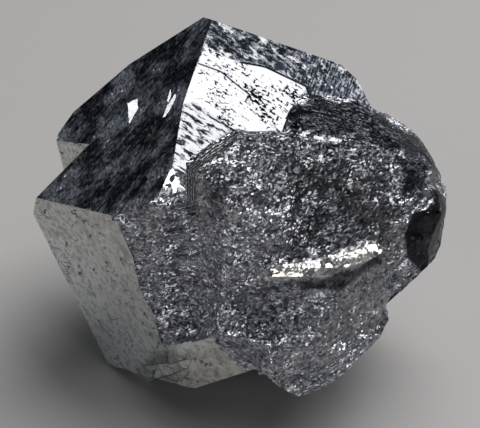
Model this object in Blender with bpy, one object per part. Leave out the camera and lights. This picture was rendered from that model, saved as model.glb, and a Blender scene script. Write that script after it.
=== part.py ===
"""Skutterudite specimen: a cluster of intergrown cuboctahedral crystals with a broken front.

Metres, +Z up. The cluster rests on the flat cut of its underside, at z = 0, and is centred on
x = y = 0. Its crystal faces look to the left, up and back, and its broken side looks to -Y.
Every crystal or lump is a cube whose faces are planed off, and all of them are one solid.
"""
import math

import bmesh
import bpy
from mathutils import Vector, noise

# ---- Driving dimensions, in millimetres and degrees ------------------------------------------
MM = 0.001
BLANK_SIZE = 80.0            # edge of the cube that each crystal or lump is planed from
FLOOR_HEIGHT = -11.4         # the flat cut, from the growth centre
BREAK_TILT = 35.0            # the broken side is modelled on a plane that leans back this far
ROUGH_SIZE = 2.6             # wavelength of the broken skin's largest relief
ROUGH_AMOUNT = 0.35          # height of that relief
FINE_ROUGH_SIZE = 1.04       # the same for its finer relief
FINE_ROUGH_AMOUNT = 0.175
BLOCK_EDGE = 1.3             # longest edge on the blocks' rough skin
REFINE_PASSES = 6            # how often their long edges are halved
BLOCK_ROUGH_AMOUNT = 0.3     # height of the relief on it
WARP_STEPS = (7.0, 23.0, 41.0)   # keeps the relief's three directions apart
BREAK_STEP = 0.5             # spacing of the broken side's grid
BREAK_WIDTH = 30.0           # the grid's size along X and up the slope
BREAK_REACH = 30.0           # how far the cutter runs out beyond the broken side

# The broken side. Heights are in millimetres, and each pair is where a rise starts and ends,
# across (along X) or up the slope, both from the growth centre.
LEFT_WALL_FRONT = 4.9        # how far forward the left part stands
BLOCK_FRONT = 6.6            # how far forward the front block stands
BLOCK_START = (-2.8, -0.6)
FOOT_SWELL = 1.2             # the lower part swells forward
FOOT_RISE = (-5.0, -7.5)
FOOT_START = (-3.5, -1.5)
LIP_SWELL = 2.6              # the bottom left runs out into a lip
LIP_START = (-4.8, -2.8)
LIP_END = (0.3, 2.4)
LIP_RISE = (-6.8, -7.8)
SHOULDER_SWELL = 0.9         # round swelling under the dark face
SHOULDER_RADIUS = 2.2
SHOULDER_PLACE = (-4.8, 0.7)
RIGHT_SETBACK = 2.2          # the right part turns away
RIGHT_START = (5.0, 9.5)
BROW_ROUNDING = 3.0          # rounding between the broken wall and the front block's top
HOLLOW_DEPTH = 0.9
HOLLOW_PLACE = (4.8, 0.2)
HOLLOW_RIM = (1.2, 2.9)      # distances from that place
LEDGE_HEIGHT = 0.9
LEDGE_LINE = -3.4            # its place up the slope, at its centre
LEDGE_CENTRE = 1.5
LEDGE_SLOPE = 0.2            # its rise to the right
LEDGE_RISE = (-0.7, 0.3)
LEDGE_DROP = (0.5, 0.9)
LEDGE_START = (0.8, 2.2)
LEDGE_END = (7.6, 8.8)

# The crystals and blocks. Each plane is (azimuth, elevation, distance from the growth centre).
UNDERSIDE = {
    "octahedral low front": (-107.0, -54.5, 10.4),
    "low front middle": (-66.0, -70.0, 9.3),
    "low front right": (-44.0, -52.8, 7.88),
}

LEFT_INSIDE = {
    "cube left": (-137.5, -11.0, 7.3),
    "octahedral left": (-165.0, 46.0, 7.5),
    "octahedral low left": (165.0, -25.5, 11.3),
    "low front": (-113.0, -11.0, 7.4),
}

RIGHT_SIDE = {
    "upper right": (25.0, 53.0, 9.2),
    "right shoulder": (10.0, 31.0, 11.0),
    "right": (4.0, 19.0, 11.5),
    "right middle": (-7.0, -2.0, 11.8),
    "right low": (-14.0, -11.0, 11.3),
    "low right": (-32.0, -31.0, 9.8),
    "low right end": (-35.0, -33.0, 9.5),
}

FRONT_CRYSTAL = {
    "octahedral left": (-165.0, 46.0, 7.8),
    "cube top": (-62.0, 65.0, 6.5),
    "cube left": (-137.5, -11.0, 7.6),
    "cube back": (131.5, 24.0, 8.25),
    "octahedral low left": (165.0, -25.5, 11.8),
    "growth cap": (75.0, 55.0, 5.8),
    "back limit": (100.0, -25.0, 11.0),
    "right limit": (0.0, 0.0, 4.0),
    "low front": (-113.0, -11.0, 7.81),
    **UNDERSIDE,
}

FRONT_CRYSTAL_PLATE = {
    "octahedral left": (-165.0, 46.0, 7.8),
    "cube top": (-62.0, 65.0, 6.5),
    "upper left edge": (135.0, 2.0, 2.2),
    "upper right edge": (60.0, 7.0, -0.4),
    "right limit": (0.0, 0.0, 3.0),
    "front limit": (-90.0, 0.0, 8.0),
    "underside": (118.0, -65.0, -3.0),
}

BACK_CRYSTAL = {
    "octahedral left": (-170.5, 50.0, 7.7),
    "cube top": (-60.0, 62.5, 5.7),
    "cube left": (-139.5, -1.0, 4.95),
    "cube back": (115.0, 33.0, 10.9),
    "cube back middle": (127.0, 26.0, 11.2),
    "cube back left": (146.0, 12.0, 12.1),
    "octahedral top": (58.0, 52.0, 10.1),
    "octahedral low left": (163.0, -16.0, 10.85),
    "cube right": (45.0, 15.0, 9.2),
    "cube right low": (29.0, -4.0, 7.5),
    "octahedral back": (88.0, -12.0, 10.5),
    "octahedral low back": (120.0, -50.0, 13.0),
    "octahedral low right": (9.5, -50.0, 13.2),
    "low right limit": (-31.0, -36.0, 9.6),
    "octahedral low front": (-75.0, -50.0, 8.5),
    "low left limit": (165.0, -25.5, 11.5),
    "front limit": (-90.0, 0.0, 4.0),
}

FRONT_BLOCK = {
    "left wall": (-170.0, 23.0, 5.8),
    "upper left wall": (155.5, 65.0, 6.15),
    "upper wall": (68.0, 65.5, 5.65),
    "top": (-62.0, 65.0, 7.5),
    "front": (-90.0, 0.0, 10.0),
    "back": (90.0, 0.0, 2.0),
    **LEFT_INSIDE,
    **RIGHT_SIDE,
    **UNDERSIDE,
}

RIGHT_BLOCK = {
    "left wall": (173.0, 55.0, 3.6),
    "top": (18.0, 76.0, 7.5),
    "front": (-32.0, 3.0, 9.7),
    "front limit": (-90.0, 0.0, 7.0),
    "left limit": (180.0, 0.0, -1.0),
    "back": (70.0, 0.0, 6.5),
    "underside": (-33.0, -53.0, 8.0),
    **RIGHT_SIDE,
}

LOWER_BLOCK = {
    "left limit": (180.0, 0.0, 8.0),
    "right": (3.0, 4.0, 7.9),
    "right low": (-20.0, -26.0, 10.4),
    "low right": (-18.0, -36.0, 10.1),
    "underside right": (-43.0, -59.0, 10.2),
    "underside": (-52.0, -64.0, 10.0),
    "underside left": (-148.0, -56.0, 6.7),
    "left": (-154.0, -52.0, 6.2),
    "front": (-90.0, 0.0, 10.0),
    "top": (90.0, 80.0, 0.0),
    "back": (90.0, 0.0, 4.0),
    **LEFT_INSIDE,
}


def direction(azimuth, elevation):
    """Unit vector of an azimuth and an elevation in degrees."""
    turn = math.radians(azimuth)
    rise = math.radians(elevation)
    return Vector((math.cos(rise) * math.cos(turn), math.cos(rise) * math.sin(turn), math.sin(rise)))


def new_object(name, bm, collection):
    """Put a bmesh's shape in a new object of a collection."""
    mesh = bpy.data.meshes.new(name)
    bmesh.ops.recalc_face_normals(bm, faces=bm.faces)
    bm.to_mesh(mesh)
    bm.free()
    item = bpy.data.objects.new(name, mesh)
    collection.objects.link(item)
    return item


def planed_solid(planes):
    """A cube planed off along each plane, in millimetres."""
    bm = bmesh.new()
    bmesh.ops.create_cube(bm, size=BLANK_SIZE)
    for azimuth, elevation, distance in planes.values():
        normal = direction(azimuth, elevation)
        cut = bmesh.ops.bisect_plane(
            bm,
            geom=bm.verts[:] + bm.edges[:] + bm.faces[:],
            dist=1e-5,
            plane_co=normal * distance,
            plane_no=normal,
            clear_outer=True,
        )
        rim = [item for item in cut["geom_cut"] if isinstance(item, bmesh.types.BMEdge)]
        bmesh.ops.contextual_create(bm, geom=rim)
    return bm


def clear_scene():
    for item in list(bpy.data.objects):
        bpy.data.objects.remove(item, do_unlink=True)


def new_collection(name):
    collection = bpy.data.collections.new(name)
    bpy.context.scene.collection.children.link(collection)
    return collection


def smooth_step(low, high, value):
    """0 below low, 1 above high, with a soft run between them."""
    share = min(max((value - low) / (high - low), 0.0), 1.0)
    return share * share * (3.0 - 2.0 * share)


def soft_lower(first, second, blend):
    """The lower of two heights, rounded over where they cross."""
    share = min(max(0.5 + 0.5 * (second - first) / blend, 0.0), 1.0)
    return second * (1.0 - share) + first * share - blend * share * (1.0 - share)


def roughness(point, size, amount):
    """Seeded broken-metal relief: noise of a size in millimetres, up to about an amount."""
    return amount * noise.fractal(point / size, 1.0, 2.0, 3, noise_basis="PERLIN_ORIGINAL")


def warp(point):
    """A seeded sideways shift of a place on a block's skin."""
    spot = point / ROUGH_SIZE
    shifts = [noise.noise(spot + Vector((0.0, 0.0, step))) for step in WARP_STEPS]
    return Vector(shifts) * BLOCK_ROUGH_AMOUNT


def broken_block(planes):
    """A planed solid whose faces are finely divided and warped into a rough broken skin."""
    bm = planed_solid(planes)
    bmesh.ops.triangulate(bm, faces=bm.faces[:])
    for _ in range(REFINE_PASSES):
        long_edges = [edge for edge in bm.edges if edge.calc_length() > BLOCK_EDGE]
        bmesh.ops.subdivide_edges(bm, edges=long_edges, cuts=1)
        bmesh.ops.triangulate(bm, faces=[face for face in bm.faces if len(face.verts) > 3])
    for vert in bm.verts:
        vert.co += warp(vert.co)
    return bm


def plane_height(planes, name, across, up_slope):
    """Height of a solid's plane over the break's own plane, at a place on it."""
    azimuth, elevation, distance = planes[name]
    normal = direction(azimuth, elevation)
    lean = math.radians(BREAK_TILT)
    normal_up = normal.y * math.sin(lean) + normal.z * math.cos(lean)
    normal_out = normal.z * math.sin(lean) - normal.y * math.cos(lean)
    return (distance - normal.x * across - normal_up * up_slope) / normal_out


def wall_height(forward, up_slope):
    """Height over the break's plane of an upright wall that stands this far forward."""
    lean = math.radians(BREAK_TILT)
    return (forward + up_slope * math.sin(lean)) / math.cos(lean)


def ledge_relief(across, up_slope):
    """A shelf that rises gently from above and drops off sharply below."""
    below = LEDGE_LINE + LEDGE_SLOPE * (across - LEDGE_CENTRE) - up_slope
    rise = smooth_step(*LEDGE_RISE, below) * (1.0 - smooth_step(*LEDGE_DROP, below))
    run = smooth_step(*LEDGE_START, across) * (1.0 - smooth_step(*LEDGE_END, across))
    return LEDGE_HEIGHT * rise * run


def break_height(across, up_slope):
    """Height of the broken side over its own plane."""
    forward = LEFT_WALL_FRONT
    forward += (BLOCK_FRONT - LEFT_WALL_FRONT) * smooth_step(*BLOCK_START, across)
    forward += FOOT_SWELL * smooth_step(*FOOT_RISE, up_slope) * smooth_step(*FOOT_START, across)
    shoulder = math.hypot(across - SHOULDER_PLACE[0], up_slope - SHOULDER_PLACE[1])
    forward += SHOULDER_SWELL * (1.0 - smooth_step(0.0, SHOULDER_RADIUS, shoulder))
    lip_width = smooth_step(*LIP_START, across) * (1.0 - smooth_step(*LIP_END, across))
    forward += LIP_SWELL * smooth_step(*LIP_RISE, up_slope) * lip_width
    forward -= RIGHT_SETBACK * smooth_step(*RIGHT_START, across)
    height = wall_height(forward, up_slope)
    top = plane_height(FRONT_BLOCK, "top", across, up_slope)
    height = soft_lower(height, top, BROW_ROUNDING)
    distance = math.hypot(across - HOLLOW_PLACE[0], up_slope - HOLLOW_PLACE[1])
    height -= HOLLOW_DEPTH * (1.0 - smooth_step(*HOLLOW_RIM, distance))
    height += ledge_relief(across, up_slope)
    height += roughness(Vector((across, up_slope, 0.0)), ROUGH_SIZE, ROUGH_AMOUNT)
    height += roughness(Vector((across, up_slope, 5.0)), FINE_ROUGH_SIZE, FINE_ROUGH_AMOUNT)
    return height


def break_cutter():
    """Everything in front of the broken side, as one closed solid."""
    bm = bmesh.new()
    cells = round(BREAK_WIDTH / BREAK_STEP)
    bmesh.ops.create_grid(bm, x_segments=cells, y_segments=cells, size=BREAK_WIDTH / 2)
    lean = math.radians(BREAK_TILT)
    slope = Vector((0.0, math.sin(lean), math.cos(lean)))
    outward = Vector((0.0, -math.cos(lean), math.sin(lean)))
    skin = bm.faces[:]
    for vert in bm.verts:
        across, up_slope = vert.co.x, vert.co.y
        height = break_height(across, up_slope)
        vert.co = Vector((across, 0.0, 0.0)) + slope * up_slope + outward * height
    grown = bmesh.ops.extrude_face_region(bm, geom=skin)
    top = [item for item in grown["geom"] if isinstance(item, bmesh.types.BMVert)]
    for vert in top:
        vert.co += outward * BREAK_REACH
    return bm


def floor_cutter():
    """Everything under the flat cut that the cluster rests on."""
    bm = bmesh.new()
    bmesh.ops.create_cube(bm, size=BLANK_SIZE)
    bmesh.ops.translate(bm, verts=bm.verts, vec=(0.0, 0.0, FLOOR_HEIGHT - BLANK_SIZE / 2))
    return bm


def metal_material():
    """Tin-white skutterudite, a little tarnished."""
    material = bpy.data.materials.new("tin_white_metal")
    material.use_nodes = True
    surface = material.node_tree.nodes["Principled BSDF"]
    surface.inputs["Base Color"].default_value = (0.55, 0.56, 0.58, 1.0)
    surface.inputs["Metallic"].default_value = 1.0
    surface.inputs["Roughness"].default_value = 0.35
    return material


def join_or_cut(item, other, operation):
    """Join or cut an object with another, which stays as a hidden guide."""
    modifier = item.modifiers.new(other.name, "BOOLEAN")
    modifier.operation = operation
    modifier.solver = "EXACT"
    modifier.object = other
    graph = bpy.context.evaluated_depsgraph_get()
    mesh = bpy.data.meshes.new_from_object(item.evaluated_get(graph))
    item.modifiers.clear()
    item.data = mesh
    other.hide_render = True
    other.display_type = "WIRE"


def stand_on_floor(mesh):
    """Scale a mesh to metres and centre it on the floor."""
    low = Vector([min(vert.co[axis] for vert in mesh.vertices) for axis in range(3)])
    high = Vector([max(vert.co[axis] for vert in mesh.vertices) for axis in range(3)])
    centre = (low + high) / 2
    for vert in mesh.vertices:
        vert.co = (vert.co - Vector((centre.x, centre.y, low.z))) * MM


def main():
    clear_scene()
    parts = new_collection("skutterudite_specimen")
    guides = new_collection("cutters")
    cluster = new_object("skutterudite_cluster", planed_solid(FRONT_CRYSTAL), parts)
    cluster.data.materials.append(metal_material())
    joined = {
        "front_crystal_plate": planed_solid(FRONT_CRYSTAL_PLATE),
        "back_crystal": planed_solid(BACK_CRYSTAL),
        "front_block": broken_block(FRONT_BLOCK),
        "right_block": broken_block(RIGHT_BLOCK),
        "lower_block": broken_block(LOWER_BLOCK),
    }
    for name, shape in joined.items():
        join_or_cut(cluster, new_object(name, shape, guides), "UNION")
    for name, shape in {"broken_side": break_cutter(), "floor": floor_cutter()}.items():
        join_or_cut(cluster, new_object(name, shape, guides), "DIFFERENCE")
    stand_on_floor(cluster.data)


main()
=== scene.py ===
"""Looks of the skutterudite specimen: its crystal faces, its broken side and its stage."""
import math

import bmesh
import bpy
import numpy as np
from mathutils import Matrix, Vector, noise


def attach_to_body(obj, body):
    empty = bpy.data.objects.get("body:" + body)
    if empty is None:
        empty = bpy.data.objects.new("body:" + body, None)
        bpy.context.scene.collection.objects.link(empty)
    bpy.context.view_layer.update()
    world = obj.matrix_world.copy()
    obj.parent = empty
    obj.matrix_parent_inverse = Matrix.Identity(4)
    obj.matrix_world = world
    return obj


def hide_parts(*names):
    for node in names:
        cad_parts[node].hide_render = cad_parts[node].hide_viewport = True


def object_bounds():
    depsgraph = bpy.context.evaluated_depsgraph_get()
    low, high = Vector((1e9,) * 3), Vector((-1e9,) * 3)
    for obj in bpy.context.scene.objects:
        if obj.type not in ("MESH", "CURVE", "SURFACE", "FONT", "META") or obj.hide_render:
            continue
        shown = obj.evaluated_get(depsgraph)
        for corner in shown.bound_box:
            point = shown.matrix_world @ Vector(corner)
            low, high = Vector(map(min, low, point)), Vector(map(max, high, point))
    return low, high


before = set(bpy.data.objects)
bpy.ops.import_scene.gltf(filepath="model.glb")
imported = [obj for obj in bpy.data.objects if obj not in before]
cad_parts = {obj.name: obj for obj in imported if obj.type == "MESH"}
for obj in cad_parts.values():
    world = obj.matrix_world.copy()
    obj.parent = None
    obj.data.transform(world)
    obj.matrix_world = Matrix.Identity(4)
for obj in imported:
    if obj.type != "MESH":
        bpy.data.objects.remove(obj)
cad_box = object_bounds()

MM = 0.001
NODE = "skutterudite_cluster"
GROWTH_CENTRE = Vector((0.0136, -1.747, 11.4))    # mm; the crystals' planes are measured from here

# ---- Camera and light ------------------------------------------------------------------------
VIEW_LEAN = 35.0             # degrees; the open side is drawn along a line that looks down so far
CAMERA_DISTANCE = 203.0      # mm from the growth centre
CAMERA_LENS = 262.6          # mm
SENSOR_WIDTH = 36.0          # mm
CAMERA_CLIP = (0.01, 10.0)   # m, the nearest and the furthest that it sees
KEY_PLACE = (31.0, 66.0)     # azimuth and elevation of the key panel
# The square panels: azimuth and elevation, distance and side in mm, and power in W.
PANELS = {
    "key_panel": (*KEY_PLACE, 260.0, 235.0, 0.57),
    "front_panel": (-68.0, 62.0, 300.0, 125.0, 0.065),
    "left_panel": (-150.0, 8.0, 300.0, 160.0, 0.12),
}
SKY_COLOUR = (0.6, 0.8, 1.0, 1.0)
SKY_STRENGTH = 0.022
FLOOR_RADIUS = 900.0         # mm
FLOOR_CORNERS = 96


def direction(azimuth, elevation):
    """Unit vector of an azimuth and an elevation in degrees."""
    turn = math.radians(azimuth)
    rise = math.radians(elevation)
    return Vector((math.cos(rise) * math.cos(turn), math.cos(rise) * math.sin(turn),
                   math.sin(rise)))


TOWARD = direction(-90.0, VIEW_LEAN)             # out of the open side
UPWARD = direction(90.0, 90.0 - VIEW_LEAN)       # up along it
GLINT = Vector((0.212, -0.371, 0.904))           # the way a grain faces when it catches the key
FRONT_GLINT = Vector((0.091, -0.650, 0.755))     # and when it catches the front panel
DARK_WAY = direction(-140.0, 65.0)               # the way a stained spot leans, out of the light
FACET_WAY = Vector((0.84, -0.534, 0.057))        # the way the dark facet on the right faces

# ---- The crystals' faces ---------------------------------------------------------------------
DARK, BRIGHT, LEFT, OTHER, BROKEN = range(5)     # the surfaces, in the order of their materials
DARK_FACES = (direction(-165.0, 46.0), direction(-170.5, 50.0))
BRIGHT_FACES = (direction(-62.0, 65.0), direction(-60.0, 62.5))
LEFT_FACES = (direction(-137.5, -11.0), direction(-139.5, -1.0), direction(-113.0, -11.0))
SAME_FACE = 0.9985           # cosine from which a face belongs to a crystal face
SAME_PLANE = 0.999           # cosine from which two flat faces count as one
FLAT_AREA = 1.0              # mm2; a bigger triangle of the CAD mesh lies on a flat face
FLAT_TURN = 0.9995           # cosine from which a smaller one lies on it too
FLAT_REACH = 0.03            # mm that it may be off that face's plane
FOOT_TURN = -0.8             # a left face with a normal under this in y ends in the broken foot

# ---- The finely divided mesh -----------------------------------------------------------------
FINE_EDGE = 0.16             # mm, longest edge on the broken skin where it is seen
FACE_EDGE = 0.45             # mm, on the flat faces
HIDDEN_EDGE = 0.45           # mm, on the broken skin elsewhere
SEEN_TURN = -0.1             # cosine to TOWARD from which the broken skin counts as seen
HALVINGS = 8                 # rounds in which the edges that are too long are halved
SLIVER = 0.012               # mm; places closer than this are merged

# ---- Relief of the broken side, in mm --------------------------------------------------------
COARSE_GRAIN = (0.10, 0.9)   # how far it moves a place, and its size
MIDDLE_GRAIN = (0.07, 0.42)
CHIPS = (0.05, 0.26)
CHIP_BEND = 0.3              # size of the noise that bends the chips
ACROSS_SQUEEZE = 0.6         # the grains see x squeezed by this, so they are longer across
CALMED = 0.85                # share of the relief that full calm takes away
BORDER_WANDER = (0.16, 0.8)  # how far the border with the flat faces moves, and over what length
BORDER_SHARE = 0.5           # share of the skin's own move that its border keeps
# Crests: rise and reach above the line, drop and fall under it.
LEDGE_RELIEF = (0.28, 1.1, 0.28, 0.7)
RIDGE_RELIEF = (-0.22, 0.5, -0.10, 0.8)
CREST_END = 0.8              # a crest fades out over this length
VALLEY_DEPTH = 0.12
HOLLOW_DEPTH = 0.25
SOFT_RUN = 1.0               # the valley and the hollow reach their depth over this length
FLATTEN_REACH = 0.6          # no place is lowered further than this to a flat zone's plane
FILL_REACH = 0.15            # the same for places under the plane
FRONT_RUN = (0.0, 0.25)      # cosine to TOWARD over which the relief of the open side sets in
WELL_IN_FRONT = 0.9          # share of it from which a place helps to lay a flat zone's plane
SIDE_RUN = (-0.6, -0.4)      # and over which its zones set in, which run on round its corners

# ---- Outlines on the open side, (across, up) in mm from the growth centre, seen from TOWARD ---
CLEAN_TOP = ((-1.99, 9.76), (-0.43, 8.93), (1.43, 8.61), (3.91, 7.43), (3.95, 6.9), (3.3, 6.3),
             (2.8, 5.5), (2.5, 4.6), (1.28, 4.5), (-0.23, 4.84), (-0.54, 5.04), (-2.71, 6.47),
             (-3.3, 6.43), (-2.93, 7.66))
TOP_CORNER = ((-3.39, 6.18), (-3.07, 6.43), (-2.72, 6.46), (-0.52, 5.04), (-3.07, 2.84),
              (-3.07, 1.51), (-4.06, 1.62), (-3.77, 4.0))
LUMP = ((-3.15, 0.52), (-3.15, 1.61), (-3.15, 2.76), (-2.14, 3.52), (-1.23, 4.15), (-0.31, 4.82),
        (1.03, 4.7), (2.14, 4.75), (3.48, 4.0), (3.48, 1.39), (1.16, 0.52), (-1.45, -0.06),
        (-2.61, -0.64))
LUMP_RIM = ((-3.1, -0.06), (-3.13, 1.61), (-3.13, 2.76), (-2.14, 3.52), (-1.23, 4.15),
            (-0.29, 4.84), (1.28, 4.72))
SMOOTH_PATCH = ((-2.9, 2.32), (-2.43, 2.49), (-1.91, 1.97), (-1.57, 0.81), (-1.39, -0.7),
                (-1.97, -0.93), (-2.38, 0.12), (-2.9, 1.28))
DARK_LUMP = ((2.26, 4.93), (2.49, 5.51), (3.19, 6.43), (3.65, 6.49), (4.12, 7.04), (4.46, 7.1),
             (5.28, 6.55), (6.84, 6.61), (7.59, 6.26), (8.46, 5.68), (9.04, 5.04), (9.51, 4.81),
             (9.39, 3.71), (9.04, 3.65), (6.84, 4.12), (5.91, 4.49), (3.25, 4.9))
DARK_SHOULDER = ((9.04, 4.93), (10.32, 4.5), (10.9, 3.85), (11.5, 3.25), (11.6, 2.61),
                 (10.78, 2.43), (10.2, 1.1), (9.39, 1.04), (9.28, 2.84), (9.39, 3.71))
DARK_FACET = ((9.99, 0.09), (10.58, 0.24), (11.17, 1.2), (11.54, 1.34), (12.12, 0.7),
              (12.3, -0.06), (11.9, -1.16), (11.6, -2.35), (10.61, -3.4), (10.28, -3.17),
              (9.69, -2.49), (9.54, -1.16))
FACET_GLINT = ((9.97, 0.18), (10.7, 0.38), (11.3, 1.22), (11.42, 1.18), (10.86, 0.25),
               (10.02, 0.02))
SIDE_FACET = ((10.14, 1.86), (10.78, 2.49), (11.42, 2.67), (11.77, 2.09), (11.54, 1.39),
              (11.07, 1.22), (10.38, 0.41), (9.74, 0.41), (9.91, 1.04))
RIDGE = ((2.67, 4.87), (3.25, 4.9), (4.52, 4.75), (5.91, 4.46), (6.96, 4.12), (9.1, 3.65),
         (9.33, 3.36), (8.41, 3.3), (6.67, 3.59), (5.22, 3.88), (3.25, 4.41))
RIDGE_GLINT = ((2.67, 4.81), (3.25, 4.87), (4.52, 4.72), (5.91, 4.41), (6.03, 4.17), (5.22, 4.12),
               (3.48, 4.52))
RIDGE_PIT = ((8.87, 3.42), (9.39, 3.36), (9.45, 2.84), (9.04, 2.78))
HOLLOW = ((3.65, 1.04), (4.52, 2.09), (5.57, 2.2), (6.61, 1.39), (6.96, 0.0), (6.26, -1.04),
          (4.75, -1.28), (3.65, -0.46))
LEDGE = ((1.28, -3.71), (1.57, -3.2), (2.32, -2.9), (3.25, -2.75), (4.23, -2.7), (5.22, -2.4),
         (5.91, -2.05), (6.84, -1.75), (7.65, -1.6), (8.52, -2.09), (8.46, -2.26), (7.54, -2.67),
         (6.43, -3.07), (5.74, -3.36), (5.04, -3.68), (4.23, -3.74), (3.07, -3.8), (1.68, -4.06))
CREAM_PATCH = ((1.68, -3.3), (2.9, -3.16), (3.07, -3.54), (2.09, -3.71))
UNDERCUT = ((3.25, -4.06), (4.23, -3.88), (5.04, -3.86), (5.8, -3.54), (6.43, -3.25),
            (8.29, -2.43), (8.35, -2.78), (7.07, -3.59), (5.91, -4.46), (5.1, -4.41),
            (3.48, -4.35))
LOWER_LEDGE = ((3.59, -4.46), (4.41, -4.35), (5.1, -4.35), (5.28, -4.64), (4.52, -5.04),
               (3.83, -4.99))
LOWER_FACET = ((4.17, -6.72), (4.75, -5.28), (6.09, -4.29), (7.65, -2.9), (8.46, -2.43),
               (8.52, -4.99), (7.88, -6.49), (6.49, -7.65), (4.75, -7.65))
MID_STREAK = ((-4.0, -3.83), (-3.25, -3.25), (-2.2, -2.61), (-1.97, -2.9), (-2.9, -3.59),
              (-3.77, -4.06))
LEFT_STREAK = ((-6.49, -1.68), (-5.22, -1.28), (-4.06, -1.1), (-3.83, -1.39), (-5.1, -1.74),
               (-6.26, -1.97))
FOOT_SHADE = ((-6.14, -6.78), (-5.74, -6.9), (-5.1, -7.54), (-4.17, -7.88), (-4.17, -8.17),
              (-5.33, -8.0), (-6.03, -7.42))
FOOT_GLITTER = ((-3.48, -7.59), (-1.45, -8.0), (-0.46, -8.58), (-0.81, -8.93), (-2.32, -8.35),
                (-3.36, -8.0))
WHITE_CORNER = ((-4.5, 2.5), (-4.06, 2.9), (-3.59, 2.2), (-3.1, 1.35), (-3.94, 1.2),
                (-4.5, 1.45))
FRONT_RIGHT = ((1.5, 4.6), (5.5, 4.3), (8.8, 3.4), (9.3, 1.0), (9.3, -1.2), (8.2, -2.0),
               (5.0, -2.4), (3.0, -2.7), (2.6, 0.5))
LEFT_SLIVER = ((-7.13, 0.2), (-6.84, 0.09), (-6.26, -0.7), (-6.43, -0.78), (-6.96, -0.29))
BEIGE_FACET = ((-3.94, -9.04), (-3.36, -8.29), (-2.32, -7.88), (-1.51, -7.59), (0.41, -9.22),
               (-0.46, -9.59), (-1.68, -9.97), (-2.9, -9.97))
FAR_EDGE = ((-2.1, 11.6), (0.6, 10.72), (4.05, 9.45), (4.3, 9.6), (0.6, 11.1), (-2.0, 12.2))
PLATES = ((-5.0, -7.9), (-2.6, -8.1), (-2.2, -9.9), (-4.6, -10.0), (-5.9, -9.2))
PIT_FIELD = ((-1.6, 8.2), (1.3, 7.9), (2.9, 6.2), (2.2, 4.9), (0.2, 5.2), (-1.6, 6.6))
# A thin growth step that runs down the bright face from the upper left, in two lengths.
GROWTH_STEP = (
    ((-2.6, 8.84), (-1.1, 8.30), (-1.12, 8.22), (-2.62, 8.76)),
    ((-1.1, 8.30), (0.5, 7.0), (0.45, 6.94), (-1.14, 8.22)),
)
FOOT_CUT = ((-1.62, -7.19), (0.46, -9.33))       # right of it the left face is broken away
# Small steps on the dark face that show the bright face's side: convex outlines.
DARK_STEPS = (
    ((-6.52, 6.43), (-5.94, 6.7), (-5.91, 6.14), (-6.43, 5.19)),
    ((-4.49, 5.62), (-4.17, 6.38), (-3.74, 7.01), (-3.71, 6.78), (-4.0, 6.14), (-4.35, 5.62)),
    ((-4.26, 6.55), (-4.03, 7.25), (-3.97, 6.96), (-4.14, 6.49)),
)

# Lines on the open side: the ledge's crest, the ridge's crest and a soft valley.
LEDGE_CREST = ((0.87, -3.94), (2.32, -3.91), (3.25, -3.83), (4.23, -3.83), (5.04, -3.77),
               (5.8, -3.42), (6.43, -3.13), (7.54, -2.64), (8.46, -2.2), (8.99, -1.97))
RIDGE_CREST = ((2.32, 4.93), (3.25, 4.88), (4.52, 4.72), (5.91, 4.41), (6.96, 4.06), (9.1, 3.59),
               (9.57, 3.25))
VALLEY = ((-2.03, 2.2), (-1.8, 0.81), (-1.68, -0.93), (-1.57, -3.83), (-1.22, -6.72))

# Zones of the broken side: outline, softness in mm, tone, glitter, calm and warmth. Tone scales
# the metal's colour and holds painted shade in some zones and a painted highlight in one, glitter
# is the share of grains that catch the light, calm smooths the grain and warmth runs from -1
# (blue) to 1 (cream).
PLAIN = (1.4, 0.23, 0.0, -0.1)
ZONES = (
    # Painted shade: the front lump and the right front get low tones that darken their upper
    # faces, which turn towards the key panel.
    (LUMP, 0.5, (0.85, 0.11, 0.0, 0.0)),
    (FRONT_RIGHT, 0.9, (0.62, 0.08, 0.0, -0.1)),
    # Painted shade: the hollow's dark tone.
    (HOLLOW, 0.8, (0.42, 0.02, 0.1, -0.4)),
    (SMOOTH_PATCH, 0.6, (1.0, 0.08, 0.25, 0.1)),
    (DARK_SHOULDER, 0.25, (0.12, 0.08, 0.4, -0.8)),
    (SIDE_FACET, 0.2, (0.4, 0.12, 0.3, -0.4)),
    (DARK_FACET, 0.06, (0.19, 0.0, 0.25, -0.5)),
    (FACET_GLINT, 0.05, (1.2, 0.9, 0.8, 0.0)),
    (RIDGE, 0.25, (0.52, 0.02, 0.2, 0.1)),
    (RIDGE_GLINT, 0.12, (0.8, 0.34, 0.5, 0.2)),
    (RIDGE_PIT, 0.12, (0.15, 0.0, 0.2, -0.2)),
    (DARK_LUMP, 0.2, (0.10, 0.10, 0.45, -0.9)),
    (LOWER_FACET, 0.4, (1.05, 0.06, 0.35, 0.0)),
    # Painted shade: the dark tone of the undercut under the ledge.
    (UNDERCUT, 0.15, (0.36, 0.01, 0.3, -0.3)),
    (LEDGE, 0.12, (1.5, 0.26, 0.75, 0.4)),
    (CREAM_PATCH, 0.15, (1.0, 0.05, 0.7, 0.7)),
    (LOWER_LEDGE, 0.15, (1.3, 0.35, 0.5, 0.0)),
    (MID_STREAK, 0.2, (1.2, 0.40, 0.1, 0.0)),
    (LEFT_STREAK, 0.15, (1.2, 0.35, 0.1, 0.0)),
    (FOOT_SHADE, 0.12, (0.3, 0.05, 0.1, 0.0)),
    (FOOT_GLITTER, 0.2, (1.1, 0.30, 0.1, 0.0)),
    (WHITE_CORNER, 0.1, (1.2, 0.75, 0.9, 0.1)),
    # Painted highlight: the white sliver's raised tone; its grains also turn towards the light.
    (LEFT_SLIVER, 0.05, (1.8, 1.5, 0.9, 0.2)),
)
FLAT_ZONES = ((SIDE_FACET, 0.15), (LOWER_FACET, 0.35))
FACET_SIDE = (0.22, 0.04, 0.3, -0.3)             # the same values round the dark facet's corner
FACET_BACK = (8.5, 10.5)     # mm towards the open side, over which that corner turns
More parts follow.
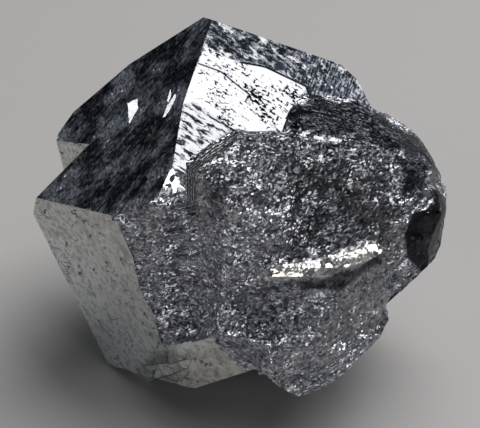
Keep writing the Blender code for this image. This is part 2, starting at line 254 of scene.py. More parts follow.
# How soft these outlines are, in mm from outside to inside.
FACET_EDGE = (-0.03, 0.03)
PLATES_EDGE = (-0.2, 0.3)
BEIGE_EDGE = (-0.2, 0.1)
TOP_LEVEL = 13.0             # mm; the clean top and its corner lie above this height
MASKED_OUT = -9.0            # mm; takes a place far out of an outline

# ---- Patterns: the slants are as seen on the open side, in degrees -----------------------------
DARK_SLANT = 47.0            # growth streaks of the dark faces
CROSS_SLANT = 62.0           # small marks across them
TOP_SLANT = -33.0            # growth lines of the bright faces
HATCH_SLANT = 68.0           # the other way, on the far part of the bright faces
LOWER_SLANT = 42.0           # wiry streaks of the lower lump
UPPER_SLANT = -12.0          # wiry streaks of the rest of the fracture
WEB_SLANT = -22.0            # fine bright lines on its darkest places
GRAIN_AXIS = Vector((0.819, 0.329, 0.470))       # the fracture's grains are longer along it
GRAIN_STRETCH = 0.38         # share by which that axis is squeezed for them
TERRACE_RATE = 46.0          # radians per mm from the front lump's rim

# ---- Colours of the metal, linear --------------------------------------------------------------
# Octahedron faces.
BLUE_GROUND = (0.16, 0.175, 0.21, 1.0)
PALE_HAZE = (0.80, 0.85, 0.96, 1.0)
DARK_FLECK = (0.05, 0.055, 0.07, 1.0)
STEP_METAL = (0.50, 0.50, 0.51, 1.0)
# Bright cube faces.
CLEAN_METAL = (0.31, 0.31, 0.32, 1.0)
BLUE_TARNISH = (0.10, 0.115, 0.15, 1.0)
FAR_EDGE_GREY = (0.13, 0.14, 0.145, 1.0)
# Satin cube faces.
SATIN_GREY = (0.60, 0.60, 0.57, 1.0)
# Lighter, bluish colour of the foot: painted light that offsets the shadowed floor the face
# reflects.
SATIN_FOOT_PAINTED_LIGHT = (0.90, 0.93, 0.96, 1.0)
SATIN_CLOUD = (0.62, 0.62, 0.59, 1.0)
PLATE_GREY = (0.40, 0.40, 0.38, 1.0)
BEIGE = (0.66, 0.63, 0.57, 1.0)
STAIN_GREY = (0.28, 0.29, 0.30, 1.0)
DARK_SPECK = (0.20, 0.21, 0.22, 1.0)
PALE_SPECK = (0.86, 0.86, 0.84, 1.0)
MARK_BLACK = (0.06, 0.065, 0.075, 1.0)
# Faces at the back.
BACK_GREY = (0.52, 0.52, 0.52, 1.0)
BACK_TARNISH = (0.34, 0.36, 0.39, 1.0)
BACK_SPECK = (0.18, 0.19, 0.21, 1.0)
BACK_PIT = (0.05, 0.055, 0.065, 1.0)
# Fracture.
GRAIN_GREY = (0.36, 0.365, 0.40, 1.0)
GRAIN_PALE = (0.52, 0.52, 0.55, 1.0)
GRAIN_SHADE = (0.17, 0.18, 0.21, 1.0)
GRAIN_GAP = (0.07, 0.075, 0.095, 1.0)
WARM_GREY = (0.56, 0.54, 0.46, 1.0)
COLD_GREY = (0.30, 0.34, 0.42, 1.0)
TERRACE_PALE = (0.62, 0.63, 0.66, 1.0)
TERRACE_LINE = (0.10, 0.105, 0.12, 1.0)
# Floor.
FLOOR_GREYS = ((0.61, 0.595, 0.585, 1.0), (0.63, 0.615, 0.605, 1.0))


def outline_distances(outline, across, up):
    """Distance in mm of each place from a closed outline, positive inside it."""
    nearest = line_distances(outline + outline[:1], across, up)
    inside = np.zeros(len(across), bool)
    for (ax, ay), (bx, by) in zip(outline, outline[1:] + outline[:1]):
        if ay != by:
            crossing = ax + (bx - ax) * (up - ay) / (by - ay)
            inside ^= ((ay > up) != (by > up)) & (across < crossing)
    return np.where(inside, nearest, -nearest)


def line_distances(line, across, up):
    """Distance in mm of each place from an open line."""
    nearest = np.full(len(across), 1e9)
    for (ax, ay), (bx, by) in zip(line, line[1:]):
        run_x, run_y = bx - ax, by - ay
        share = ((across - ax) * run_x + (up - ay) * run_y) / (run_x * run_x + run_y * run_y)
        share = np.clip(share, 0.0, 1.0)
        away = np.hypot(across - ax - share * run_x, up - ay - share * run_y)
        nearest = np.minimum(nearest, away)
    return nearest


def smooth_step(low, high, value):
    """0 below low, 1 above high, with a soft run between them."""
    share = np.clip((value - low) / (high - low), 0.0, 1.0)
    return share * share * (3.0 - 2.0 * share)


def open_side(points):
    """Where places in mm are seen on the open side: across and up."""
    spots = points - np.array(GROWTH_CENTRE)
    nearer = 1.0 - spots @ np.array(TOWARD) / CAMERA_DISTANCE
    return spots[:, 0] / nearer, (spots @ np.array(UPWARD)) / nearer


# ---- Shader building ---------------------------------------------------------------------------
class Wire:
    """One output of a node in a material. Plain arithmetic on it adds Math nodes."""

    def __init__(self, tree, socket=None):
        self.tree = tree
        self.socket = socket

    def node(self, kind, settings=None, inputs=None, output=0):
        """Add a node: its settings first, then the values or wires of its sockets."""
        made = self.tree.nodes.new(kind)
        for name, value in (settings or {}).items():
            setattr(made, name, value)
        for name, value in (inputs or {}).items():
            if isinstance(value, Wire):
                self.tree.links.new(value.socket, made.inputs[name])
            else:
                made.inputs[name].default_value = value
        return Wire(self.tree, made.outputs[output])

    def math(self, operation, *values):
        return self.node("ShaderNodeMath", {"operation": operation}, dict(enumerate(values)))

    def __add__(self, other):
        return self.math("ADD", self, other)

    def __radd__(self, other):
        return self.math("ADD", other, self)

    def __sub__(self, other):
        return self.math("SUBTRACT", self, other)

    def __rsub__(self, other):
        return self.math("SUBTRACT", other, self)

    def __mul__(self, other):
        return self.math("MULTIPLY", self, other)

    def __rmul__(self, other):
        return self.math("MULTIPLY", other, self)

    def __truediv__(self, other):
        return self.math("DIVIDE", self, other)

    def band(self, low, high):
        """0 below low, 1 above high, with a soft run between them; also falling, if high < low."""
        if high < low:
            return 1.0 - self.band(high, low)
        return self.node("ShaderNodeMapRange", {"interpolation_type": "SMOOTHSTEP"},
                         {"Value": self, "From Min": low, "From Max": high})

    def lowest(self, other):
        return self.math("MINIMUM", self, other)

    def highest(self, other):
        return self.math("MAXIMUM", self, other)

    def size(self):
        return self.math("ABSOLUTE", self)

    def sine(self):
        return self.math("SINE", self)


def vector_sum(first, second):
    return first.node("ShaderNodeVectorMath", {"operation": "ADD"}, {0: first, 1: second})


def scaled(vector, amount):
    return vector.node("ShaderNodeVectorMath", {"operation": "SCALE"},
                       {0: vector, "Scale": amount})


def along(vector, axis):
    """How far a vector runs along an axis."""
    return vector.node("ShaderNodeVectorMath", {"operation": "DOT_PRODUCT"},
                       {0: vector, 1: tuple(axis)}, output=1)


def unit(vector):
    return vector.node("ShaderNodeVectorMath", {"operation": "NORMALIZE"}, {0: vector})


def joined(across, up):
    return across.node("ShaderNodeCombineXYZ", None, {0: across, 1: up})


def mix_number(share, first, second):
    return share.node("ShaderNodeMix", {"data_type": "FLOAT"},
                      {0: share, 2: first, 3: second})


def mix_vector(share, first, second):
    return share.node("ShaderNodeMix", {"data_type": "VECTOR"},
                      {0: share, 4: first, 5: second}, output=1)


def mix_colour(share, first, second):
    return share.node("ShaderNodeMix", {"data_type": "RGBA"},
                      {0: share, 6: first, 7: second}, output=2)


def grain(place, scale, detail, roughness, output=0):
    """Noise in 0 to 1 at a scale per mm; output 1 is a colour of it."""
    return place.node("ShaderNodeTexNoise", None, {
        "Vector": place, "Scale": scale, "Detail": detail, "Roughness": roughness}, output)


def cells(place, scale, distance="EUCLIDEAN", output=1, feature="F1", flat=False):
    """A colour for each cell of a net of random cells; output 0 is a distance in the net."""
    return place.node("ShaderNodeTexVoronoi", {
        "distance": distance, "feature": feature, "voronoi_dimensions": "2D" if flat else "3D",
    }, {"Vector": place, "Scale": scale}, output)


def single_cells(place, scale):
    """One random number in 0 to 1 for each cell."""
    return place.node("ShaderNodeSeparateColor", None, {0: cells(place, scale)})


def attribute(place, name):
    """A number that the mesh keeps for each place."""
    return place.node("ShaderNodeAttribute", {"attribute_name": name}, output=2)


def start_material(name, metallic):
    """A new material: its shader, and the place from the growth centre in mm as a wire."""
    material = bpy.data.materials.new(name)
    material.use_nodes = True
    tree = material.node_tree
    shader = tree.nodes["Principled BSDF"]
    shader.inputs["Metallic"].default_value = metallic
    place = Wire(tree).node("ShaderNodeTexCoord", output=3)
    place = vector_sum(scaled(place, 1.0 / MM), tuple(-GROWTH_CENTRE))
    return material, shader, place


def attach(shader, name, wire):
    """Feed a socket of the shader."""
    shader.id_data.links.new(wire.socket, shader.inputs[name])


def seen_wires(place):
    """The same as open_side, in a material."""
    nearer = 1.0 - along(place, TOWARD) / CAMERA_DISTANCE
    return along(place, (1.0, 0.0, 0.0)) / nearer, along(place, UPWARD) / nearer


def inside_outline(across, up, outline):
    """Distance in mm from a convex outline, positive inside it."""
    middle_x = sum(spot[0] for spot in outline) / len(outline)
    middle_y = sum(spot[1] for spot in outline) / len(outline)
    nearest = None
    for (ax, ay), (bx, by) in zip(outline, outline[1:] + outline[:1]):
        length = math.hypot(bx - ax, by - ay)
        in_x, in_y = (ay - by) / length, (bx - ax) / length
        if (middle_x - ax) * in_x + (middle_y - ay) * in_y < 0.0:
            in_x, in_y = -in_x, -in_y
        side = across * in_x + up * in_y - (ax * in_x + ay * in_y)
        nearest = side if nearest is None else nearest.lowest(side)
    return nearest


def streaked(across, up, angle, length, width):
    """Coordinates in which round noise looks like streaks of a length and width, in mm."""
    turn = math.radians(angle)
    run = (across * math.cos(turn) + up * math.sin(turn)) * (1.0 / length)
    side = (up * math.cos(turn) - across * math.sin(turn)) * (1.0 / width)
    return joined(run, side)


def streaks(across, up, angle, length, width, detail, roughness):
    """Noise in 0 to 1, drawn out into streaks."""
    return grain(streaked(across, up, angle, length, width), 1.0, detail, roughness)


def shortened(place, axis, amount):
    """Places squeezed along an axis, so that round noise looks longer along it."""
    run = along(place, axis) * -amount
    return vector_sum(place, place.node("ShaderNodeVectorMath", {"operation": "SCALE"},
                                        {0: tuple(axis), "Scale": run}))


def facing(place):
    """The surface's own direction."""
    return place.node("ShaderNodeNewGeometry", output=1)


def stirred(vector, colour, amount):
    """A direction or a place moved by a random colour, by half an amount each way at most."""
    centred = vector_sum(colour, (-0.5, -0.5, -0.5))
    return vector_sum(vector, scaled(centred, amount))


def bumped(height, normal):
    """A shader normal from a height in mm."""
    return height.node("ShaderNodeBump", None,
                       {"Strength": 1.0, "Distance": MM, "Height": height, "Normal": normal})


def dark_material():
    """Octahedron faces: dark blue-grey metal with slanting growth streaks and small glints."""
    material, shader, place = start_material("dark_crystal_face", 1.0)
    across, up = seen_wires(place)
    own = facing(place)
    wide = streaks(across, up, DARK_SLANT, 2.6, 1.3, 5.0, 0.62)
    lines = streaks(across, up, DARK_SLANT + 1.0, 1.7, 0.10, 4.0, 0.62)
    cross = streaked(across, up, CROSS_SLANT, 0.22, 0.12)
    flecks = grain(cross, 1.0, 4.0, 0.66)
    haze = (wide + 0.35 * (lines - 0.5)).band(0.42, 0.60)
    normal = stirred(own, cells(streaked(across, up, DARK_SLANT, 0.5, 0.16), 1.0), 0.22)
    normal = stirred(normal, cells(cross, 1.0), 0.30)
    # Small steps, worn grains and thin scratches all turn towards the key panel.
    steps = None
    for outline in DARK_STEPS:
        inside = inside_outline(across, up, outline) + 0.12 * (flecks - 0.5)
        step = inside.band(-0.01, 0.02)
        steps = step if steps is None else steps.highest(step)
    steps = steps * along(own, DARK_FACES[0]).band(0.9, 0.95)
    worn = (single_cells(cross, 1.5) + 0.3 * (wide - 0.5)).band(0.975, 1.0) * 0.5
    scratch = (lines - 0.5).size().band(0.010, 0.003) * (1.0 - wide).band(0.42, 0.5) * 0.35
    turned = mix_vector(steps.highest(worn).highest(scratch), unit(normal), tuple(GLINT))
    attach(shader, "Normal", bumped(0.02 * lines + 0.02 * flecks, unit(turned)))
    base = mix_colour(haze, BLUE_GROUND, PALE_HAZE)
    base = mix_colour(flecks.band(0.54, 0.44) * 0.75, base, DARK_FLECK)
    base = mix_colour(steps * (0.55 + 0.45 * flecks.band(0.4, 0.6)), base, STEP_METAL)
    attach(shader, "Base Color", base)
    attach(shader, "Roughness", 0.16 + 0.18 * lines + 0.24 * haze)
    return material


def bright_material():
    """Cube faces on top: mirror-bright, with square pits, growth steps and mottled tarnish."""
    material, shader, place = start_material("bright_crystal_face", 1.0)
    across, up = seen_wires(place)
    mottle = grain(streaked(across, up, -35.0, 1.6, 1.0), 1.6, 6.0, 0.68)
    fine = grain(place, 5.5, 4.0, 0.65)
    clean = attribute(place, "clean_top")
    shine = (clean + 0.25 * (fine - 0.5)).band(-0.04, 0.04)
    stained = 1.0 - shine
    corner = (attribute(place, "top_corner") + 0.3 * (fine - 0.5)).band(-0.1, 0.1)
    # Pits: square ones in loose groups, and dark flecks that follow the growth lines.
    pit_net = streaked(across, up, -20.0, 0.46, 0.36)
    pit_net = cells(pit_net, 1.0, "CHEBYCHEV", output=0, flat=True)
    rings = (pit_net - 0.26).size().band(0.06, 0.02)
    groups = streaks(across, up, TOP_SLANT, 2.4, 1.1, 2.0, 0.5)
    field = inside_outline(across, up, PIT_FIELD).band(-0.6, 0.3)
    square_pits = rings * groups.band(0.50, 0.58) * field
    flecks = streaks(across, up, TOP_SLANT, 0.26, 0.14, 3.0, 0.6)
    fleck_pits = (flecks + 0.09 * field + 0.8 * (groups - 0.5)).band(0.605, 0.66)
    first, second = (inside_outline(across, up, outline) for outline in GROWTH_STEP)
    step = first.highest(second).band(-0.04, 0.02) * 0.8
    pits = square_pits.highest(fleck_pits).highest(step)
    # A dark growth line round the upper right of the clean part.
    border = (clean - 0.05).size().band(0.11, 0.03) * across.band(-0.6, 0.3)
    # Tarnish over the rest: mottled, hatched, and streaked at the near corner.
    tarnish = (mottle + 0.02 * across.band(0.0, 6.0)).band(0.36, 0.50)
    hatch = mix_number(across.band(2.5, 4.5),
                       streaks(across, up, TOP_SLANT, 0.6, 0.2, 4.0, 0.7),
                       streaks(across, up, HATCH_SLANT, 0.7, 0.14, 4.0, 0.65))
    patches = tarnish * (0.55 + 0.5 * hatch.band(0.42, 0.56)) + 0.35 * flecks.band(0.5, 0.6)
    corner_dark = streaks(across, up, TOP_SLANT, 0.8, 0.22, 5.0, 0.72).band(0.48, 0.58)
    patches = mix_number(corner, patches.lowest(1.0), corner_dark)
    cover = mix_number(shine, patches, pits).highest(border * 0.95)
    base = mix_colour(cover, CLEAN_METAL, BLUE_TARNISH)
    far_edge = inside_outline(across, up, FAR_EDGE).band(-0.02, 0.03)
    attach(shader, "Base Color", mix_colour(far_edge, base, FAR_EDGE_GREY))
    normal = unit(mix_vector(cover * 0.85, facing(place), tuple(DARK_WAY)))
    leaves = cells(streaked(across, up, TOP_SLANT, 0.5, 0.2), 1.0)
    normal = stirred(normal, leaves, 0.16 * stained)
    normal = stirred(normal, cells(place, 6.0), 0.10 * stained + 0.02)
    attach(shader, "Normal", bumped(fine * (0.012 * stained + 0.001), unit(normal)))
    attach(shader, "Roughness", 0.12 + 0.14 * stained + 0.1 * cover)
    return material


def left_material():
    """Cube faces on the left: satin light grey with small pits, hair cracks and a lighter, bluish
    foot that is painted light.
    """
    material, shader, place = start_material("satin_crystal_face", 1.0)
    across, up = seen_wires(place)
    cloud = grain(place, 0.35, 3.0, 0.5)
    fine = grain(place, 3.2, 5.0, 0.62)
    low = (-0.45 * across - 0.9 * up).band(3.0, 11.0)
    stain = grain(place, 1.3, 5.0, 0.6).band(0.50, 0.66)
    # Small slanting pits in loose groups, and hair cracks.
    pits = streaked(across + 0.25 * fine, up, 70.0, 0.62, 0.34)
    pits = cells(pits, 1.0, output=0, flat=True)
    pits = (pits + 0.5 * (fine - 0.5)).band(0.25, 0.15)
    pits = pits * grain(place, 1.1, 2.0, 0.5).band(0.56, 0.66)
    cracks = (streaks(across, up, -25.0, 1.6, 0.7, 3.0, 0.6) - 0.5).size().band(0.012, 0.004)
    cracks = cracks * grain(place, 0.5, 2.0, 0.5).band(0.52, 0.6)
    # Broken plates at the foot, each with its own tone and tilt.
    broken_up = attribute(place, "plates")
    plate_net = streaked(across + 0.5 * fine, up + 0.6 * cloud, 12.0, 1.5, 0.62)
    joints = cells(plate_net, 1.0, output=0, feature="DISTANCE_TO_EDGE").band(0.06, 0.02)
    joints = joints * broken_up * cloud.band(0.35, 0.5)
    marks = pits.highest(cracks).highest(joints)
    # Painted light: the colour grows lighter towards the lower left, where the face reflects the
    # floor in the specimen's shadow.
    base = mix_colour(low, SATIN_GREY, SATIN_FOOT_PAINTED_LIGHT)
    base = mix_colour(cloud.band(0.4, 0.7) * 0.35, base, SATIN_CLOUD)
    base = mix_colour(broken_up * single_cells(plate_net, 1.0) * 0.7, base, PLATE_GREY)
    base = mix_colour(attribute(place, "beige") * 0.8, base, BEIGE)
    base = mix_colour(stain * 0.6, base, STAIN_GREY)
    base = mix_colour(fine.band(0.50, 0.64) * 0.5, base, DARK_SPECK)
    base = mix_colour(fine.band(0.44, 0.34) * 0.8, base, PALE_SPECK)
    base = mix_colour(marks * 0.85, base, MARK_BLACK)
    attach(shader, "Base Color", base)
    attach(shader, "Roughness", 0.36 + 0.14 * fine)
    normal = stirred(facing(place), cells(plate_net, 1.0), 0.3 * broken_up)
    attach(shader, "Normal", bumped(0.012 * fine + 0.05 * cloud - 0.03 * marks, unit(normal)))
    return material


def other_material():
    """Crystal faces at the back: the same tin-white metal, with mottled tarnish and few pits."""
    material, shader, place = start_material("plain_crystal_face", 1.0)
    mottle = grain(place, 0.7, 6.0, 0.62)
    fine = grain(place, 4.0, 5.0, 0.62)
    pits = cells(place, 1.9, output=0).band(0.12, 0.06) * mottle.band(0.45, 0.6)
    base = mix_colour(mottle.band(0.36, 0.66), BACK_GREY, BACK_TARNISH)
    base = mix_colour(fine.band(0.56, 0.7) * 0.5, base, BACK_SPECK)
    base = mix_colour(pits * 0.8, base, BACK_PIT)
    attach(shader, "Base Color", base)
    attach(shader, "Roughness", 0.22 + 0.25 * fine)
    normal = stirred(facing(place), cells(place, 5.0), 0.12)
    attach(shader, "Normal", bumped(0.012 * fine + 0.02 * mottle - 0.02 * pits, unit(normal)))
    return material


def fracture_material():
    """Granular broken metal: blue-grey, with grains that glitter and slanting streaks."""
    material, shader, place = start_material("fracture", 1.0)
    across, up = seen_wires(place)
    own = facing(place)
    tone = attribute(place, "tone")
    glitter = attribute(place, "glitter")
    calm = attribute(place, "calm")
    warmth = attribute(place, "warmth")
    facet = attribute(place, "facet")
    lively = 1.0 - calm
    coldness = 0.0 - warmth
    bent = stirred(place, grain(place, 1.2, 2.0, 0.5, output=1), 0.5)
    slanted = shortened(bent, GRAIN_AXIS, GRAIN_STRETCH)
    cloud = grain(place, 0.55, 4.0, 0.6)
    fine = grain(slanted, 5.0, 5.0, 0.68)
    patch = single_cells(slanted, 2.2)
    small = mix_number(calm.band(0.3, 0.5), single_cells(slanted, 10.0), single_cells(bent, 3.4))
    normal = stirred(own, cells(slanted, 2.4), 0.7 * lively + 0.05)
    normal = unit(stirred(normal, cells(slanted, 9.0), 1.35 * lively + 0.10))
    # Grains that face a light, in loose groups, as many as the glitter asks for.
    grouped = grain(slanted, 1.5, 3.0, 0.6).band(0.35, 0.65)
    chance = small + 0.45 * (grouped - 0.5) + glitter - 0.12
    caught = chance.band(0.92, 1.0) * along(own, GLINT).band(0.05, 0.3)
    to_key = along(own, direction(*KEY_PLACE)).band(0.2, 0.4)
    bright_way = mix_vector(to_key, tuple(FRONT_GLINT), tuple(GLINT))
    normal = unit(mix_vector(caught * 0.9, normal, bright_way))
    normal = unit(mix_vector(facet * (0.85 - 0.8 * caught), normal, tuple(FACET_WAY)))
    # Fine bright lines on the darkest broken places; besides turning to the light, they get a
    # painted highlight in their colour further down.
    web = streaks(across, up, WEB_SLANT, 1.1, 0.22, 4.0, 0.6)
    web = (web - 0.5).size().band(0.012, 0.004) * coldness.band(0.3, 0.6)
    web = web * cloud.band(0.45, 0.55) * (1.0 - facet)
    normal = unit(mix_vector(web * 0.9, normal, bright_way))
    # Wiry streaks, which slant the other way on the lower lump.
    lower = (0.0 - up).band(2.5, 3.3) * across.band(2.5, 4.0)
    wires = mix_number(lower, streaks(across, up, UPPER_SLANT, 1.6, 0.09, 2.0, 0.5),
                       streaks(across, up, LOWER_SLANT, 1.3, 0.10, 2.0, 0.5))
    # Terraces along the front lump's rim.
    rim = attribute(place, "rim_distance")
    rim_side = rim.band(0.62, 0.5) * attribute(place, "lump_inside").band(-0.03, 0.03)
    rim_side = rim_side * across.band(0.4, -1.0) * up.band(0.4, 1.2)
    terrace = (rim * TERRACE_RATE).sine()
    base = mix_colour(cloud.band(0.35, 0.65), GRAIN_GREY, GRAIN_PALE)
    base = mix_colour((1.0 - patch).band(0.3, 0.9) * 0.55 * lively, base, GRAIN_SHADE)
    base = mix_colour(small.band(0.60, 0.15) * 0.75 * lively, base, GRAIN_GAP)
    base = mix_colour(warmth.band(0.0, 1.0), base, WARM_GREY)
    base = mix_colour(coldness.band(0.0, 1.0) * 0.6, base, COLD_GREY)
    base = mix_colour(rim_side * 0.75, base, TERRACE_PALE)
    base = mix_colour(terrace.band(0.2, -0.7) * rim_side * 0.8, base, TERRACE_LINE)
    # Painted highlight: the fine lines' colour is lightened fivefold.
    shade = tone * (0.6 + 0.8 * wires) * (1.0 + 4.0 * web)
    attach(shader, "Base Color", scaled(base, shade))
    attach(shader, "Roughness", 0.24 + 0.2 * fine - 0.08 * caught)
    # The grain is lower where a place glitters, so that its light stays together.
    level = (1.0 - 0.9 * caught.highest(web)) * (1.0 - 0.8 * facet)
    height = (fine - 0.5) * (0.04 * lively + 0.015) * level + 0.05 * terrace * rim_side
    attach(shader, "Normal", bumped(height, normal))
    return material


def floor_material():
    """Plain pale floor with a faint cloudiness."""
    material, shader, place = start_material("pale_floor", 0.0)
    attach(shader, "Base Color", mix_colour(grain(place, 0.01, 2.0, 0.5), *FLOOR_GREYS))
    shader.inputs["Roughness"].default_value = 0.8
    shader.inputs["Specular IOR Level"].default_value = 0.2
    return material


# ---- The specimen ------------------------------------------------------------------------------
def face_kind(face, flats):
    """Which of the surfaces a face of the CAD mesh belongs to."""
    corner = face.verts[0].co
    on_flat = any(
        face.normal.dot(normal) > FLAT_TURN and abs(normal.dot(corner) - distance) < FLAT_REACH
        for normal, distance in flats)
    if not on_flat:
        return BROKEN
    for kind, normals in ((DARK, DARK_FACES), (BRIGHT, BRIGHT_FACES), (LEFT, LEFT_FACES)):
        if any(face.normal.dot(normal) > SAME_FACE for normal in normals):
            return kind
    return OTHER


def wanted_edge(edge):
    """Longest edge wanted at a place, in mm."""
    if all(face.material_index != BROKEN for face in edge.link_faces):
        return FACE_EDGE
    seen = any(face.normal.dot(TOWARD) > SEEN_TURN for face in edge.link_faces)
    return FINE_EDGE if seen else HIDDEN_EDGE


def cut_to_triangles(bm):
    """Cut every larger face into triangles and bring the normals up to date."""
    bmesh.ops.triangulate(bm, faces=[face for face in bm.faces if len(face.verts) > 3])
    bm.normal_update()


def break_foot(bm):
    """Give the foot of the left face the look of the broken skin, right of its cut."""
    (left, top), (right, low) = FOOT_CUT
    slope = (low - top) / (right - left)
    feet = [face for face in bm.faces
            if face.material_index == LEFT and face.normal.y < FOOT_TURN]
    across, up = open_side(np.array([face.calc_center_median() for face in feet]))
    for face, broken in zip(feet, up - top > slope * (across - left)):
        if broken:
            face.material_index = BROKEN


def divided_copy():
    """The CAD solid's mesh in mm, merged, sorted into its surfaces and finely divided."""
    bm = bmesh.new()
    bm.from_mesh(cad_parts[NODE].data)
    bmesh.ops.scale(bm, vec=(1.0 / MM,) * 3, verts=bm.verts)
    bmesh.ops.remove_doubles(bm, verts=bm.verts, dist=SLIVER)
    bmesh.ops.dissolve_degenerate(bm, edges=bm.edges, dist=SLIVER)
    cut_to_triangles(bm)
    flats = [(face.normal.copy(), face.normal.dot(face.verts[0].co))
             for face in bm.faces if face.calc_area() > FLAT_AREA]
    for face in bm.faces:
        face.material_index = face_kind(face, flats)
    for _ in range(HALVINGS):
        longest = [edge for edge in bm.edges if edge.calc_length() > wanted_edge(edge)]
        bmesh.ops.subdivide_edges(bm, edges=longest, cuts=1, use_single_edge=True,
                                  use_grid_fill=True)
        cut_to_triangles(bm)
    break_foot(bm)
    return bm


def held_planes(vert):
    """The directions of the flat faces that meet at a vertex."""
    planes = []
    for face in vert.link_faces:
        known = any(face.normal.dot(plane) >= SAME_PLANE for plane in planes)
        if face.material_index != BROKEN and not known:
            planes.append(face.normal.copy())
    return planes


def random_relief(point):
    """How far the grain moves a place on the broken skin, in mm."""
    squeezed = Vector((point.x * ACROSS_SQUEEZE, point.y, point.z))
    coarse = COARSE_GRAIN[0] * noise.noise(squeezed / COARSE_GRAIN[1])
    middle = MIDDLE_GRAIN[0] * noise.noise(squeezed / MIDDLE_GRAIN[1] + Vector((9.0, 0.0, 0.0)))
    bend = Vector((0.3, 0.6, 0.1)) * noise.noise(squeezed / CHIP_BEND)
    chip = noise.cell_vector(squeezed / CHIPS[1] + bend)
    return coarse + middle + CHIPS[0] * (chip.x - 0.5)


def wander(point):
    """How far the broken skin's border moves within a flat face, in mm."""
    reach, length = BORDER_WANDER
    shifts = [noise.noise(point / length + Vector((0.0, 0.0, step))) for step in (3.0, 13.0, 29.0)]
    return Vector(shifts) * reach


def crest_relief(across, up, crest, rise, reach, drop, fall):
    """Outward moves that rise towards a crest from above and drop away sharply under it."""
    line_x = [spot[0] for spot in crest]
    line_y = [spot[1] for spot in crest]
    over = up - np.interp(across, line_x, line_y)
    window = smooth_step(line_x[0], line_x[0] + CREST_END, across)
    window *= 1.0 - smooth_step(line_x[-1] - CREST_END, line_x[-1], across)
    above = rise * (1.0 - np.clip(over / reach, 0.0, 1.0)) ** 2 * (over >= 0.0)
    below = -drop * (1.0 - np.clip(-over / fall, 0.0, 1.0)) * (over < 0.0)
    return (above + below) * window


def broken_moves(points, normals):
    """Moves in mm that shape the broken skin: facets, the ledge, the ridge and a valley."""
    across, up = open_side(points)
    toward = normals @ np.array(TOWARD)
    front = smooth_step(*FRONT_RUN, toward)
    near_side = smooth_step(*SIDE_RUN, toward)
    out = crest_relief(across, up, LEDGE_CREST, *LEDGE_RELIEF)
    out += crest_relief(across, up, RIDGE_CREST, *RIDGE_RELIEF)
    beside = smooth_step(0.0, SOFT_RUN, line_distances(VALLEY, across, up))
    out -= VALLEY_DEPTH * (1.0 - beside)
    out -= HOLLOW_DEPTH * smooth_step(0.0, SOFT_RUN, outline_distances(HOLLOW, across, up))
    moves = (out * front)[:, None] * np.array(TOWARD)
    for outline, softness in FLAT_ZONES:
        inside = outline_distances(outline, across, up)
        core = (inside > 0.0) & (front > WELL_IN_FRONT)
        middle = points[core].mean(axis=0)
        normal = np.linalg.svd(points[core] - middle, full_matrices=False)[2][2]
        normal = normal * np.sign(normals[core].mean(axis=0) @ normal)
        away = np.clip((points - middle) @ normal, -FILL_REACH, FLATTEN_REACH)
        share = smooth_step(-softness, softness, inside) * near_side
        moves -= (away * share)[:, None] * normal
    return moves


def zone_values(points, normals):
    """Tone, glitter, calm and warmth of each place on the broken skin."""
    across, up = open_side(points)
    near_side = smooth_step(*SIDE_RUN, normals @ np.array(TOWARD))
    values = np.tile(np.array(PLAIN), (len(points), 1))
    deep = 1.0 - smooth_step(*FACET_BACK, points @ np.array(TOWARD))
    for outline, softness, wanted in ZONES:
        inside = outline_distances(outline, across, up)
        share = smooth_step(-softness, softness, inside) * near_side
        wanted = np.tile(np.array(wanted), (len(points), 1))
        if outline is DARK_FACET:
            wanted += (np.array(FACET_SIDE) - wanted) * deep[:, None]
        values += (wanted - values) * share[:, None]
    return values


def move_skin(bm, points, normals, calm):
    """Give the broken skin its relief; the flat faces and their corners stay where they are."""
    shapes = broken_moves(points, normals)
    low = cad_box[0] / MM
    high = cad_box[1] / MM
    for index, vert in enumerate(bm.verts):
        planes = held_planes(vert)
        if len(planes) > 1 or all(face.material_index != BROKEN for face in vert.link_faces):
            continue
        lively = 1.0 - CALMED * calm[index]
        move = Vector(shapes[index]) + vert.normal * random_relief(vert.co) * lively
        if planes:
            move = move * BORDER_SHARE + wander(vert.co)
            move -= planes[0] * move.dot(planes[0])
        spot = vert.co + move
        vert.co = Vector(min(max(spot[axis], low[axis]), high[axis]) for axis in range(3))


def surface_values(points, zones):
    """What the materials read at each place of the mesh, by its name."""
    across, up = open_side(points)
    outside = np.where(points[:, 2] > TOP_LEVEL, 0.0, MASKED_OUT)
    facet = smooth_step(*FACET_EDGE, outline_distances(DARK_FACET, across, up))
    return {
        "tone": zones[:, 0],
        "glitter": zones[:, 1],
        "calm": zones[:, 2],
        "warmth": zones[:, 3],
        "clean_top": outline_distances(CLEAN_TOP, across, up) + outside,
        "top_corner": outline_distances(TOP_CORNER, across, up) + outside,
        "facet": facet * smooth_step(*FACET_BACK, points @ np.array(TOWARD)),
        "rim_distance": line_distances(LUMP_RIM, across, up),
        "lump_inside": outline_distances(LUMP, across, up),
        "plates": smooth_step(*PLATES_EDGE, outline_distances(PLATES, across, up)),
        "beige": smooth_step(*BEIGE_EDGE, outline_distances(BEIGE_FACET, across, up)),
    }


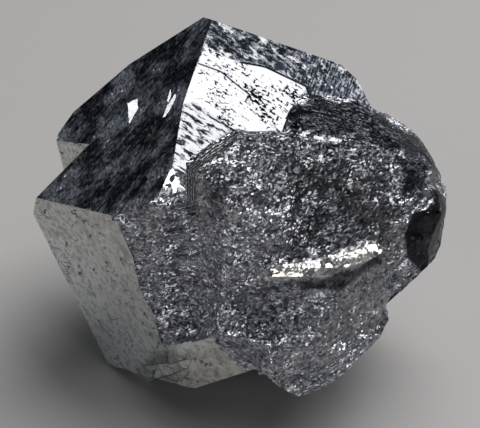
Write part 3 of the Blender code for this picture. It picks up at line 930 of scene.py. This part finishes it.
def build_specimen():
    """The whole specimen: the CAD solid's mesh with a fine skin and its five metals."""
    bm = divided_copy()
    points = np.array([vert.co for vert in bm.verts])
    normals = np.array([vert.normal for vert in bm.verts])
    zones = zone_values(points, normals)
    move_skin(bm, points, normals, zones[:, 2])
    bmesh.ops.scale(bm, vec=(MM,) * 3, verts=bm.verts)
    mesh = bpy.data.meshes.new("specimen")
    bm.to_mesh(mesh)
    bm.free()
    for name, values in surface_values(points, zones).items():
        layer = mesh.attributes.new(name, "FLOAT", "POINT")
        layer.data.foreach_set("value", np.asarray(values, dtype=np.float32))
    for material in (dark_material(), bright_material(), left_material(), other_material(),
                     fracture_material()):
        mesh.materials.append(material)
    specimen = bpy.data.objects.new("specimen", mesh)
    bpy.context.scene.collection.objects.link(specimen)
    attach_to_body(specimen, "root")
    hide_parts(NODE)


# ---- The stage ---------------------------------------------------------------------------------
def build_floor():
    """A wide round floor under the specimen."""
    bm = bmesh.new()
    bmesh.ops.create_circle(bm, cap_ends=True, segments=FLOOR_CORNERS,
                            radius=FLOOR_RADIUS * MM)
    bmesh.ops.recalc_face_normals(bm, faces=bm.faces)
    mesh = bpy.data.meshes.new("floor")
    bm.to_mesh(mesh)
    bm.free()
    mesh.materials.append(floor_material())
    floor = bpy.data.objects.new("floor", mesh)
    bpy.context.scene.collection.objects.link(floor)


def look_along(item, place, target):
    """Put a light or the camera at a place, looking at a target; both in mm."""
    item.location = place * MM
    item.rotation_euler = (target - place).to_track_quat("-Z", "Y").to_euler()


def add_light(name, azimuth, elevation, distance, side, power):
    """A soft square panel light that looks at the specimen; lengths in mm."""
    lamp = bpy.data.lights.new(name, "AREA")
    lamp.shape = "SQUARE"
    lamp.size = side * MM
    lamp.energy = power
    item = bpy.data.objects.new(name, lamp)
    bpy.context.scene.collection.objects.link(item)
    look_along(item, GROWTH_CENTRE + direction(azimuth, elevation) * distance, GROWTH_CENTRE)


def build_stage():
    """Floor, lights, sky and camera."""
    build_floor()
    for name, panel in PANELS.items():
        add_light(name, *panel)
    world = bpy.data.worlds.new("studio")
    bpy.context.scene.world = world
    world.use_nodes = True
    background = world.node_tree.nodes["Background"]
    background.inputs["Color"].default_value = SKY_COLOUR
    background.inputs["Strength"].default_value = SKY_STRENGTH
    lens = bpy.data.cameras.new("camera")
    lens.lens = CAMERA_LENS
    lens.sensor_width = SENSOR_WIDTH
    lens.clip_start, lens.clip_end = CAMERA_CLIP
    camera = bpy.data.objects.new("camera", lens)
    bpy.context.scene.collection.objects.link(camera)
    look_along(camera, GROWTH_CENTRE + TOWARD * CAMERA_DISTANCE, GROWTH_CENTRE)
    bpy.context.scene.camera = camera
    bpy.context.scene.view_settings.view_transform = "Standard"
    bpy.context.scene.view_settings.look = "None"


build_specimen()
build_stage()
